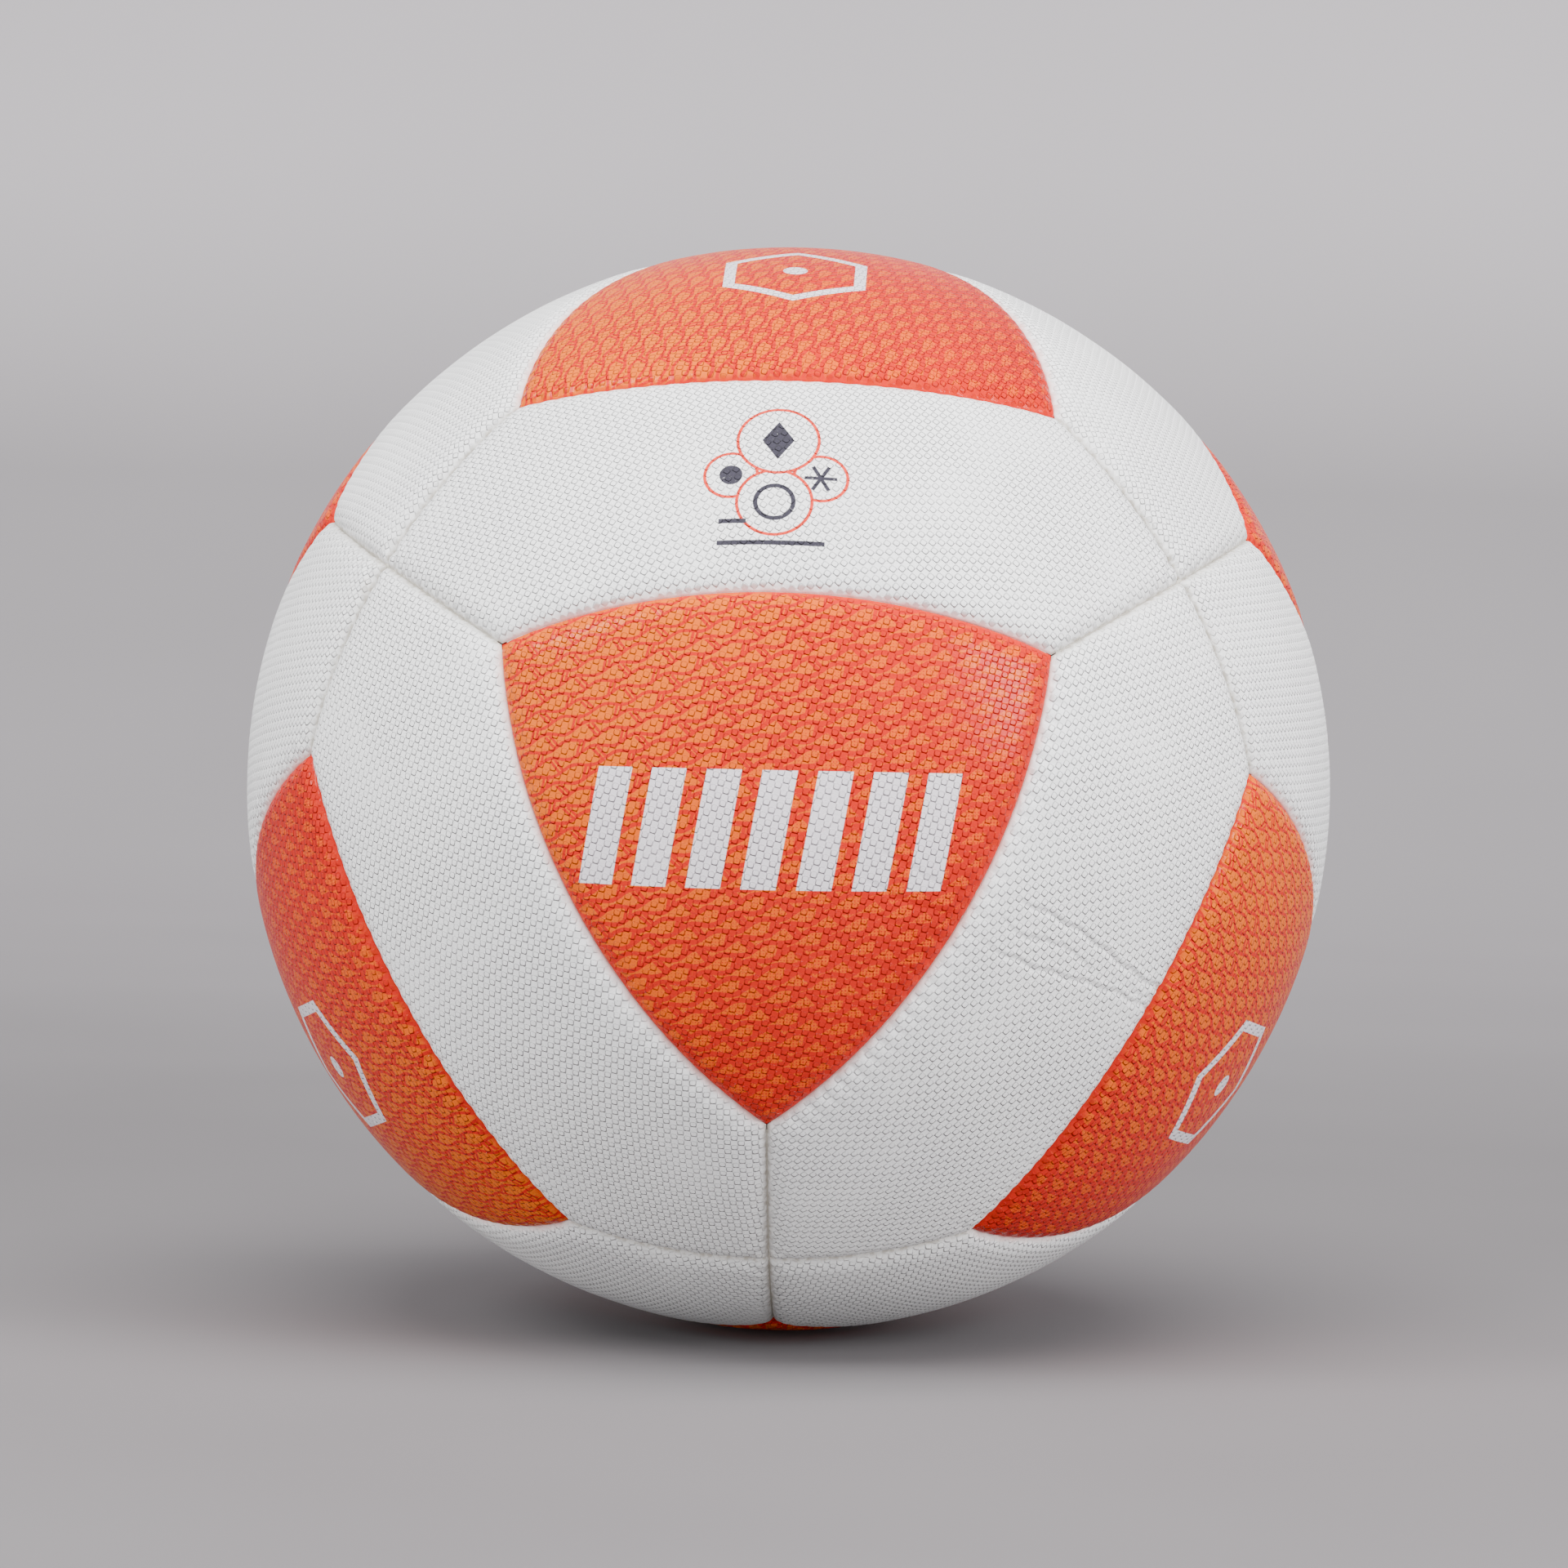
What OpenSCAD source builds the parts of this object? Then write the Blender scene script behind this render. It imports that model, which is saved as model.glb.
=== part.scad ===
// Hand-stitched size 5 soccer ball.
// Eight curved-triangle panels and twelve long panels are sewn edge to edge over a rubber
// bladder. The centres of the eight triangles are the corners of a cube, so every panel is
// cut with that cube's three axes and then the whole ball is turned to stand as it is used:
// the front triangle looks along -Y with one corner down, and the valve is at the back, +Y.

/* [Ball] */
// Diameter over the panels, inflated
ball_d = 220; // [200:1:230]
// Distance from a triangle's centre to its corner, in degrees of arc
corner_reach = 33.6; // [31:0.1:36]
// Distance from a triangle's centre to the middle of its side, in degrees of arc
side_reach = 22.2; // [20:0.1:24]

/* [Panels] */
// Thickness of a cover panel, printed skin and foam together
cover_t = 2.5; // [2:0.1:3.2]
// Thickness of the woven lining bonded under each cover panel
lining_t = 1.2; // [0.8:0.1:1.6]
// Width of the open seam between two panels
seam_w = 1.0; // [0.6:0.1:1.2]
// Width of the rolled edge beside a seam
roll_w = 2.6; // [1:0.1:4]
// Depth of the rolled edge beside a seam
roll_depth = 1.9; // [0.5:0.1:1.9]
// Diameter of the waxed stitching thread
thread_d = 0.8; // [0.3:0.1:0.8]

/* [Bladder] */
// Thickness of the bladder wall
bladder_t = 0.8; // [0.6:0.1:1.2]
// Thickness of the two rubber patches on the bladder
patch_t = 0.7; // [0.5:0.1:0.9]
// Diameter of the patch around the valve
valve_patch_d = 40; // [32:1:50]
// Diameter of the balancing patch opposite the valve
balance_patch_d = 30; // [24:1:50]

/* [Valve] */
// Diameter of the hole in the cover for the valve
valve_hole_d = 9; // [8.8:0.1:10]
// Diameter of the valve housing's stem
stem_d = 8.4; // [7.6:0.1:8.4]
// Length of the stem, from its outer face to its inner end
stem_l = 16.3; // [14:0.1:20]
// Diameter of the flange that holds the stem in the bladder
flange_d = 28; // [20:1:32]
// Thickness of the flange
flange_t = 1.2; // [0.8:0.1:1.6]
// Diameter of the soft core inside the housing
core_d = 5.2; // [4:0.1:5.6]
// Diameter of the channel for the pump needle
needle_d = 2.2; // [2:0.1:2.4]

/* [Hidden] */
// Clear space between neighbouring layers and between the core and its housing
layer_gap = 0.1;
core_gap = 0.05;

ball_r = ball_d / 2;
cover_in_r = ball_r - cover_t;
lining_out_r = cover_in_r - layer_gap;
lining_in_r = lining_out_r - lining_t;
patch_out_r = lining_in_r - layer_gap;
patch_in_r = patch_out_r - patch_t;
bladder_out_r = patch_in_r - layer_gap;
bladder_in_r = bladder_out_r - bladder_t;
flange_out_r = bladder_in_r - layer_gap;
flange_in_r = flange_out_r - flange_t;

// A triangle's side is part of a circle on the ball. pole_tilt is how far that circle's pole
// lies from the triangle's centre, towards the corner opposite the side, and pole_reach is
// the arc from the pole to the side.
side_bow = sin(side_reach) - sin(corner_reach) / 2;
pole_tilt = atan((cos(side_reach) - cos(corner_reach)) / side_bow);
pole_reach = side_reach + pole_tilt;
// Half of the side, as an angle about its pole
side_half = asin(sin(corner_reach) * sin(60) / sin(pole_reach));

// Arc from a triangle's centre to the axis beyond its corner, where four long panels meet
cross_reach = acos(1 / sqrt(3));
// Arc of plain seam from that axis to the corner
arm_reach = cross_reach - corner_reach;
// Turn that brings a corner of the cube level, so that it can face the front
front_tilt = 90 - cross_reach;

// Threads lie at the foot of the seam. Where two cross, one passes under the other.
thread_r = cover_in_r + thread_d / 2;
under_r = thread_r - thread_d - layer_gap;
// Arc left free at each end of a thread
thread_end = 1.2 / ball_r * 180 / PI;

// The valve stands on the +Y axis. Its outer face lies a little below the panel.
stem_out = ball_r - 0.7;
stem_in = stem_out - stem_l;
// Wall of the housing above and below the core
cap_t = 2;
foot_t = 1.5;
core_out = stem_out - cap_t - core_gap;
core_in = stem_in + foot_t + core_gap;
lead_in = 0.5;

// Signs of a triangle's centre along the cube's three axes
FRONT = [1, 1, 1];
TOP = [1, 1, -1];
LOWER_LEFT = [-1, 1, 1];
LOWER_RIGHT = [1, -1, 1];
BACK = [-1, -1, -1];
BOTTOM = [-1, -1, 1];
UPPER_RIGHT = [1, -1, -1];
UPPER_LEFT = [-1, 1, -1];

// A long panel lies over an edge of the cube's dual: two signs and one zero. The belt panels
// circle the ball between front and back and are named by clock hour, seen from the front.
FRONT_TOP = [1, 1, 0];
FRONT_LEFT = [0, 1, 1];
FRONT_RIGHT = [1, 0, 1];
BACK_BOTTOM = [-1, -1, 0];
BACK_RIGHT = [0, -1, -1];
BACK_LEFT = [-1, 0, -1];
BELT_01 = [1, 0, -1];
BELT_03 = [1, -1, 0];
BELT_05 = [0, -1, 1];
BELT_07 = [-1, 0, 1];
BELT_09 = [-1, 1, 0];
BELT_11 = [0, 1, -1];

$fn = 120;

// ---- Directions ----

function unit(v) = v / norm(v);
function cube_axis(k) = [k == 0 ? 1 : 0, k == 1 ? 1 : 0, k == 2 ? 1 : 0];
// The part of v that is square to the unit vector n
function square_to(v, n) = unit(v - n * (v * n));

// Turns the cube frame to the ball's own frame
module stand() {
    rotate([0, 180, 0])
        rotate([front_tilt, 0, 0])
            rotate([0, 0, -135])
                children();
}

// Puts +Z on the unit vector z, and +X on the unit vector x, which is square to it
module face(z, x) {
    y = cross(z, x);
    multmatrix([
        [x[0], y[0], z[0], 0],
        [x[1], y[1], z[1], 0],
        [x[2], y[2], z[2], 0]
    ]) children();
}

// +Z on the pole of the side of triangle s that lies opposite its corner k.
// The middle of that side is then towards -X.
module on_side_pole(s, k) {
    centre = unit(s);
    face(centre, square_to(s[k] * cube_axis(k), centre))
        rotate([0, pole_tilt, 0])
            children();
}

// Puts the +Z axis on +Y, where the valve is
module on_valve_axis() {
    rotate([-90, 0, 0]) children();
}

// ---- Panels ----

module shell(r_out, r_in) {
    difference() {
        sphere(r_out);
        sphere(r_in);
    }
}

// Everything on +Z's side of a seam that runs round +Z at the given reach. With way 1 it
// stops half a seam short and its wall rolls inwards near the ball's surface, which gives the
// panel on that side. With way -1 it takes in the seam and rolls outwards, which cuts the
// panel on the other side. Points are placed by their length along the seam's cone and their
// inset from it.
module seam_side(reach, way) {
    function at(len, inset) =
        [len * sin(reach) - inset * cos(reach), len * cos(reach) + inset * sin(reach)];
    function round_at(r, angle) = [r * sin(angle), r * cos(angle)];
    half = seam_w / 2;
    rotate_extrude()
        polygon([
            [0, way * half / sin(reach)],
            at(ball_r - roll_depth, way * half),
            at(ball_r - roll_depth * 0.4, way * (half + roll_w * 0.25)),
            at(ball_r + roll_depth * 2, way * (half + roll_w * 4.75)),
            round_at(ball_r * 2, reach * 0.75),
            round_at(ball_r * 2, reach * 0.4),
            [0, ball_r * 2]
        ]);
}

// Curved triangle: the part of a shell inside all three of its seams
module orange_panel(s, r_out, r_in) {
    difference() {
        intersection() {
            on_side_pole(s, 0) seam_side(pole_reach, 1);
            on_side_pole(s, 1) seam_side(pole_reach, 1);
            on_side_pole(s, 2) seam_side(pole_reach, 1);
            sphere(r_out);
        }
        sphere(r_in);
    }
}

// The axis across a long panel, and the axes of its two ends
function across(s) = s[0] == 0 ? 0 : s[1] == 0 ? 1 : 2;
function first_end(s) = s[0] == 0 ? 1 : 0;
function second_end(s) = s[2] == 0 ? 1 : 2;

// A triangle's side of the seam it shares with long panel s, which has one on each side
module triangle_side(s, side) {
    on_side_pole(s + side * cube_axis(across(s)), across(s)) seam_side(pole_reach, -1);
}

// Room between the two plain seams at one end of a long panel. They lie in planes through
// the ball's centre, at 45 degrees to each side of the end's axis.
module end_wedge(s, end, other_end) {
    tip = seam_w / sqrt(2);
    far = ball_r * 2;
    face(cube_axis(other_end), s[end] * cube_axis(end))
        linear_extrude(far * 2, center = true)
            polygon([[tip, 0], [far + tip, far], [far + tip, -far]]);
}

// Long panel: the part of a shell between its two triangles, with two seams at each end
module white_panel(s, r_out, r_in) {
    difference() {
        intersection() {
            end_wedge(s, first_end(s), second_end(s));
            end_wedge(s, second_end(s), first_end(s));
            sphere(r_out);
        }
        triangle_side(s, 1);
        triangle_side(s, -1);
        sphere(r_in);
    }
}

module orange_cover(s) {
    color("#f4671f") stand() orange_panel(s, ball_r, cover_in_r);
}

module white_cover(s) {
    color("#e4e3e0") stand() white_panel(s, ball_r, cover_in_r);
}

module orange_lining(s) {
    color("#cfc7b4") stand() orange_panel(s, lining_out_r, lining_in_r);
}

module white_lining(s) {
    color("#d8d1bf") stand() white_panel(s, lining_out_r, lining_in_r);
}

// Round hole through the back panel for the valve
module valve_hole() {
    on_valve_axis() translate([0, 0, lining_in_r - 5]) cylinder(h = 15, d = valve_hole_d);
}

// ---- Stitching ----

// Length of thread on a circle of radius r about +Z, centred on +X
module thread_arc(r, half_angle) {
    rotate([0, 0, -half_angle])
        rotate_extrude(angle = half_angle * 2)
            translate([r, 0]) circle(d = thread_d, $fn = 24);
}

// The three lengths of thread in the seams round a triangle
module triangle_thread(s) {
    end_angle = thread_end / sin(pole_reach);
    color("#d9d4c8")
        stand()
            for (k = [0, 1, 2])
                on_side_pole(s, k)
                    translate([0, 0, thread_r * cos(pole_reach)])
                        rotate([0, 0, 180])
                            thread_arc(thread_r * sin(pole_reach), side_half - end_angle);
}

// Two threads that cross where four long panels meet, on cube axis k, plus or minus
module cross_thread(k, sign) {
    axis = sign * cube_axis(k);
    color("#d9d4c8")
        stand()
            face(axis, cube_axis((k + 1) % 3))
                for (turn = [[45, thread_r], [135, under_r]])
                    rotate([0, 0, turn[0]])
                        rotate([0, -90, 0])
                            rotate([90, 0, 0])
                                thread_arc(turn[1], arm_reach - thread_end);
}

// ---- Bladder and valve ----

module bladder() {
    color("#2b2b2d")
        difference() {
            shell(bladder_out_r, bladder_in_r);
            on_valve_axis()
                translate([0, 0, bladder_in_r - 5])
                    cylinder(h = 10, d = stem_d + 2 * layer_gap);
        }
}

// Round piece of patch sheet about +Z
module patch_sheet(d) {
    intersection() {
        shell(patch_out_r, patch_in_r);
        cylinder(h = ball_r, d = d);
    }
}

module valve_patch() {
    color("#4a4a4c")
        on_valve_axis()
            difference() {
                patch_sheet(valve_patch_d);
                cylinder(h = ball_r, d = stem_d + 2 * layer_gap);
            }
}

module balance_patch() {
    color("#4a4a4c") rotate([90, 0, 0]) patch_sheet(balance_patch_d);
}

// Stem with a chamber for the core, closed round the core by the cap and the foot
module valve_housing() {
    color("#1d1d1f")
        on_valve_axis()
            difference() {
                union() {
                    translate([0, 0, stem_in]) cylinder(h = 1, d1 = stem_d - 2, d2 = stem_d);
                    translate([0, 0, stem_in + 1])
                        cylinder(h = stem_l - 1.5, d = stem_d);
                    translate([0, 0, stem_out - 0.5])
                        cylinder(h = 0.5, d1 = stem_d, d2 = stem_d - 1);
                    intersection() {
                        shell(flange_out_r, flange_in_r);
                        cylinder(h = ball_r, d = flange_d);
                    }
                }
                translate([0, 0, stem_in - 1]) cylinder(h = stem_l + 2, d = needle_d);
                translate([0, 0, stem_in + foot_t])
                    cylinder(h = stem_l - foot_t - cap_t, d = core_d + 2 * core_gap);
                translate([0, 0, stem_out - lead_in])
                    cylinder(h = lead_in * 2, d1 = needle_d, d2 = needle_d + lead_in * 8);
            }
}

// Soft plug that seals itself when the needle is pulled out
module valve_core() {
    color("#7d7a72")
        on_valve_axis()
            difference() {
                translate([0, 0, core_in]) cylinder(h = core_out - core_in, d = core_d);
                translate([0, 0, core_in - 1]) cylinder(h = stem_l, d = needle_d);
            }
}

// ---- Parts ----

module orange_back() {
    color("#f4671f")
        difference() {
            orange_cover(BACK);
            valve_hole();
        }
}

module lining_orange_back() {
    color("#cfc7b4")
        difference() {
            orange_lining(BACK);
            valve_hole();
        }
}

orange_cover(FRONT);  // orange_front
orange_cover(TOP);  // orange_top
orange_cover(LOWER_LEFT);  // orange_lower_left
orange_cover(LOWER_RIGHT);  // orange_lower_right
orange_back();
orange_cover(BOTTOM);  // orange_bottom
orange_cover(UPPER_RIGHT);  // orange_upper_right
orange_cover(UPPER_LEFT);  // orange_upper_left
white_cover(FRONT_TOP);  // white_front_top
white_cover(FRONT_LEFT);  // white_front_left
white_cover(FRONT_RIGHT);  // white_front_right
white_cover(BACK_BOTTOM);  // white_back_bottom
white_cover(BACK_RIGHT);  // white_back_right
white_cover(BACK_LEFT);  // white_back_left
white_cover(BELT_01);  // white_belt_01
white_cover(BELT_03);  // white_belt_03
white_cover(BELT_05);  // white_belt_05
white_cover(BELT_07);  // white_belt_07
white_cover(BELT_09);  // white_belt_09
white_cover(BELT_11);  // white_belt_11
orange_lining(FRONT);  // lining_orange_front
orange_lining(TOP);  // lining_orange_top
orange_lining(LOWER_LEFT);  // lining_orange_lower_left
orange_lining(LOWER_RIGHT);  // lining_orange_lower_right
lining_orange_back();
orange_lining(BOTTOM);  // lining_orange_bottom
orange_lining(UPPER_RIGHT);  // lining_orange_upper_right
orange_lining(UPPER_LEFT);  // lining_orange_upper_left
white_lining(FRONT_TOP);  // lining_white_front_top
white_lining(FRONT_LEFT);  // lining_white_front_left
white_lining(FRONT_RIGHT);  // lining_white_front_right
white_lining(BACK_BOTTOM);  // lining_white_back_bottom
white_lining(BACK_RIGHT);  // lining_white_back_right
white_lining(BACK_LEFT);  // lining_white_back_left
white_lining(BELT_01);  // lining_white_belt_01
white_lining(BELT_03);  // lining_white_belt_03
white_lining(BELT_05);  // lining_white_belt_05
white_lining(BELT_07);  // lining_white_belt_07
white_lining(BELT_09);  // lining_white_belt_09
white_lining(BELT_11);  // lining_white_belt_11
triangle_thread(FRONT);  // thread_orange_front
triangle_thread(TOP);  // thread_orange_top
triangle_thread(LOWER_LEFT);  // thread_orange_lower_left
triangle_thread(LOWER_RIGHT);  // thread_orange_lower_right
triangle_thread(BACK);  // thread_orange_back
triangle_thread(BOTTOM);  // thread_orange_bottom
triangle_thread(UPPER_RIGHT);  // thread_orange_upper_right
triangle_thread(UPPER_LEFT);  // thread_orange_upper_left
cross_thread(1, 1);  // thread_cross_upper_left
cross_thread(0, 1);  // thread_cross_upper_right
cross_thread(2, 1);  // thread_cross_lower_front
cross_thread(1, -1);  // thread_cross_lower_right
cross_thread(0, -1);  // thread_cross_lower_left
cross_thread(2, -1);  // thread_cross_upper_back
bladder();
valve_housing();
valve_core();
valve_patch();
balance_patch();
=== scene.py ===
"""Visual model of a stitched soccer ball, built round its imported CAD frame.

Each cover panel is rebuilt as a closed mesh with rolled, puckered edges. The linings, the
bladder, the stitching and the valve are the frame's own pieces with new materials.
Lengths are in metres. The CAD frame has +Z up and the front triangle facing -Y.
"""

import math

import bmesh
import bpy
import numpy as np
from mathutils import Matrix, Vector


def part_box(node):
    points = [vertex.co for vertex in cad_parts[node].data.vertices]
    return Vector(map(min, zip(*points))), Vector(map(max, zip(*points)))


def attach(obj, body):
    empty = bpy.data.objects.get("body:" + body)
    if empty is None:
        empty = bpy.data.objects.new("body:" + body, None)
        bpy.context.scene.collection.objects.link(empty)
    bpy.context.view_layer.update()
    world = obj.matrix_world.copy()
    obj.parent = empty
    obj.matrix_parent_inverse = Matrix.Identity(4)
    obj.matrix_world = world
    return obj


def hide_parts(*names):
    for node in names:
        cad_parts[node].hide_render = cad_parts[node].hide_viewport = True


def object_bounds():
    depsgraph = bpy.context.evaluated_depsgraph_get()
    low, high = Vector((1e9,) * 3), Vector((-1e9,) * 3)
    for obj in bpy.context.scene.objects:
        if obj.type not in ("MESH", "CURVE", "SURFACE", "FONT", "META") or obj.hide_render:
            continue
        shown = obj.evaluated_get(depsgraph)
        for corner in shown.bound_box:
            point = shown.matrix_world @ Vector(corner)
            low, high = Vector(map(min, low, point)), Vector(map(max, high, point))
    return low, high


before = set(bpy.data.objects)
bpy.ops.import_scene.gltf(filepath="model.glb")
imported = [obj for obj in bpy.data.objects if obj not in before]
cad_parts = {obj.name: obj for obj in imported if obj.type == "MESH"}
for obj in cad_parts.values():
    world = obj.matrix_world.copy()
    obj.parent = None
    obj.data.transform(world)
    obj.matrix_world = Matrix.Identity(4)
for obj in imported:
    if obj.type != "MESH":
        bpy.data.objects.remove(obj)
CAD_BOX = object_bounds()

MM = 0.001
TURN = 2 * math.pi
BALL_R = max(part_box("orange_front")[1][2], *(abs(c) for c in CAD_BOX[0]), *CAD_BOX[1])

# ---------------------------------------------------------------- camera

CAMERA_REACH = 11 * BALL_R      # from the ball's centre
CAMERA_AZIMUTH = math.radians(1.8)
CAMERA_HEIGHT = math.radians(2.4)
CAMERA_ROLL = math.radians(1.15)
BALL_SHARE = 663 / 1920         # ball's radius as a share of the picture's width
SENSOR = 36                     # sensor width in mm
CAMERA_SHIFT = (-0.0028, 0.0030)    # the ball's offset in the frame, as a share of its width


def make_camera():
    """Camera a little right of and above the front panel's axis."""
    data = bpy.data.cameras.new("Camera")
    camera = bpy.data.objects.new("Camera", data)
    bpy.context.scene.collection.objects.link(camera)
    place = Vector((
        math.sin(CAMERA_AZIMUTH) * math.cos(CAMERA_HEIGHT),
        -math.cos(CAMERA_AZIMUTH) * math.cos(CAMERA_HEIGHT),
        math.sin(CAMERA_HEIGHT),
    )) * CAMERA_REACH
    look = (-place).to_track_quat("-Z", "Y").to_matrix().to_4x4()
    roll = Matrix.Rotation(CAMERA_ROLL, 4, "Z")
    camera.matrix_world = Matrix.Translation(place) @ look @ roll
    outline = math.tan(math.asin(BALL_R / CAMERA_REACH))
    data.sensor_width = SENSOR
    data.lens = BALL_SHARE / outline * SENSOR
    data.shift_x, data.shift_y = CAMERA_SHIFT
    data.clip_start = 0.05
    data.clip_end = 30
    bpy.context.scene.camera = camera


make_camera()

# ---------------------------------------------------------------- panel layout

# A triangle's centre lies on a corner of a cube whose three axes point this way
CUBE = np.array([
    [math.sqrt(1 / 2), -math.sqrt(1 / 3), math.sqrt(1 / 6)],
    [-math.sqrt(1 / 2), -math.sqrt(1 / 3), math.sqrt(1 / 6)],
    [0, -math.sqrt(1 / 3), -math.sqrt(2 / 3)],
])
CORNER_REACH = math.radians(33.6)       # from a triangle's centre to its corner
SIDE_REACH = math.radians(22.2)         # and to the middle of its side
# Each side is part of a circle on the ball: its pole's tilt from the centre, and its reach
SIDE_BOW = math.sin(SIDE_REACH) - math.sin(CORNER_REACH) / 2
POLE_TILT = math.atan((math.cos(SIDE_REACH) - math.cos(CORNER_REACH)) / SIDE_BOW)
POLE_REACH = SIDE_REACH + POLE_TILT
CUBE_TO_CORNER = math.acos(math.sqrt(1 / 3))    # from a cube axis to a triangle's centre

# Signs of a triangle's centre on the cube's axes, then its print: the number of the axis that
# up lies along, 1 if up points to that side of the panel and -1 if away from it, and where
# the mark sits from the panel's centre in mm
TRIANGLES = {
    "orange_front": ((1, 1, 1), 2, -1, (0, -3.2)),
    "orange_top": ((1, 1, -1), 2, 1, (0.5, 0)),
    "orange_lower_left": ((-1, 1, 1), 0, 1, (-4.5, 0)),
    "orange_lower_right": ((1, -1, 1), 1, 1, (4.0, 1.5)),
    "orange_back": ((-1, -1, -1), 2, -1, (0, 0)),
    "orange_bottom": ((-1, -1, 1), 2, 1, (0, 0)),
    "orange_upper_right": ((1, -1, -1), 0, 1, (0, 0)),
    "orange_upper_left": ((-1, 1, -1), 1, 1, (0, 0)),
}
# Signs of a long panel's centre, and the turn of its grain in degrees
LONG_PANELS = {
    "white_front_top": ((1, 1, 0), -33),
    "white_front_left": ((0, 1, 1), 50),
    "white_front_right": ((1, 0, 1), -10),
    "white_back_bottom": ((-1, -1, 0), 8),
    "white_back_right": ((0, -1, -1), -20),
    "white_back_left": ((-1, 0, -1), 25),
    "white_belt_01": ((1, 0, -1), 12),
    "white_belt_03": ((1, -1, 0), -8),
    "white_belt_05": ((0, -1, 1), 30),
    "white_belt_07": ((-1, 0, 1), -25),
    "white_belt_09": ((-1, 1, 0), 15),
    "white_belt_11": ((0, 1, -1), 6),
}
GRAIN_TURN_ORANGE = -14
# A long panel's print and grain are upright from the side that faces this way
UPRIGHT = np.array([0.1, -0.3, 1.0])

# ---------------------------------------------------------------- panel shape

HALF_SEAM = 0.05 * MM           # half the gap between two rolled edges
HALF_CROSS = 0.09 * MM          # the same at the short seams between white panels
ROLL_W = 4.8 * MM               # width of the rolled edge
ROLL_DEPTH = 1.8 * MM
UNDERCUT = 0.35 * MM            # the edge draws back under the roll, clear of the thread
UNDERCUT_R = BALL_R - 2.15 * MM
COVER_IN_R = BALL_R - 2.49 * MM
STITCH_PITCH = 3.9 * MM
PUCKER_DEPTH = 0.46 * MM
PUCKER_REACH = 3.4 * MM         # how far a pucker runs in from the seam
PUCKER_START = 0.7 * MM         # it reaches its depth this far from the seam
TRIANGLE_LUMPS = 0.10 * MM      # height of the slight unevenness
LONG_LUMPS = 0.12 * MM
SKIN_MAX_R = BALL_R + 0.1 * MM
HOLE_R = 4.5 * MM               # valve hole in the back panel
HOLE_LIP = 0.5 * MM
HOLE_STEP = 0.9 * MM            # height over the undercut where the hole's wall has a ring
NO_END = 99 * MM                # distance to a short seam on panels that have none
SIDE_LATITUDE = 0.2             # of a long panel's curved side, in radians

# Wrinkles in the skin: panel, start and end as (longitude, latitude) in degrees, depth in mm
WRINKLES = (
    ("white_front_right", (24.0, -7.6), (50, -19.4), 0.46),
    ("white_front_right", (21.0, -12.0), (49, -21.4), 0.40),
    ("white_front_right", (25.5, -11.2), (36, -15.5), 0.26),
    ("white_front_right", (40.0, -17.2), (51, -21.0), 0.24),
    ("white_front_right", (23.0, -10.0), (30, -13.2), 0.20),
    ("orange_front", (8.4, -5.8), (24, -12), 0.22),
    ("orange_front", (10, -3.6), (23, -8.4), 0.18),
    ("orange_front", (4, -7.6), (17, -12.6), 0.10),
    ("white_front_top", (-37, 38), (-32, 22), 0.20),
    ("white_front_top", (-31, 33), (-29, 24), 0.14),
    ("white_front_left", (-38, -6), (-33, -19), 0.12),
    ("white_back_left", (-140, 30), (-128, 12), 0.22),
    ("white_belt_03", (84, 12), (96, -6), 0.20),
)
WRINKLE_W = 0.5 * MM
WANDER, QUIVER = 0.8 * MM, 0.25 * MM    # slow and quick sideways drift of a wrinkle

# Mesh density
SIDE_STEPS = 140                # points along each side of a triangle
TRIANGLE_RINGS = 50
BODY_STEPS, TIP_STEPS = 150, 36     # columns in a long panel's body and in each of its tips
HALF_ROWS = 42                  # rows from a long panel's middle to its edge
CREASED = ("white_front_right",)    # panels with a mesh twice as fine for their deep wrinkles


def unit(v):
    return v / np.linalg.norm(v, axis=-1, keepdims=True)


def aimed(longitude, latitude):
    """Direction at a longitude, to the right of the front, and a latitude."""
    lon, lat = math.radians(longitude), math.radians(latitude)
    return np.array([math.sin(lon) * math.cos(lat), -math.cos(lon) * math.cos(lat),
                     math.sin(lat)])


def towards(centre, target):
    """Unit tangent at centre that heads for target."""
    return unit(target - centre * (centre @ target))


def triangle_poles(centre, signs):
    """Poles of a triangle's three sides, as (pole, tangent at the centre)."""
    out = []
    for k in range(3):
        tangent = towards(centre, signs[k] * CUBE[k])
        out.append((math.cos(POLE_TILT) * centre + math.sin(POLE_TILT) * tangent, tangent))
    return out


def cosine_step(count):
    """Steps from 0 to 1 that close up towards 1, where an edge rolls over."""
    return np.sin(np.linspace(0, math.pi / 2, count + 1))


LUMP_PITCHES = (46, 27, 15, 9)      # in mm
LUMP_WAVES = 4                      # waves of each pitch
LUMP_PEAK = 6                       # about where their sum peaks


def lumps(points, seed):
    """Smooth random relief between about -1 and 1 over points on the ball."""
    rng = np.random.default_rng(seed)
    total = np.zeros(points.shape[:-1])
    for pitch in LUMP_PITCHES:
        for _ in range(LUMP_WAVES):
            way = unit(rng.normal(size=3))
            phase = rng.uniform(0, TURN)
            wave = np.sin(points @ way * (TURN / (pitch * MM)) + phase)
            total += wave * pitch / LUMP_PITCHES[0]
    return total / LUMP_PEAK


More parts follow.
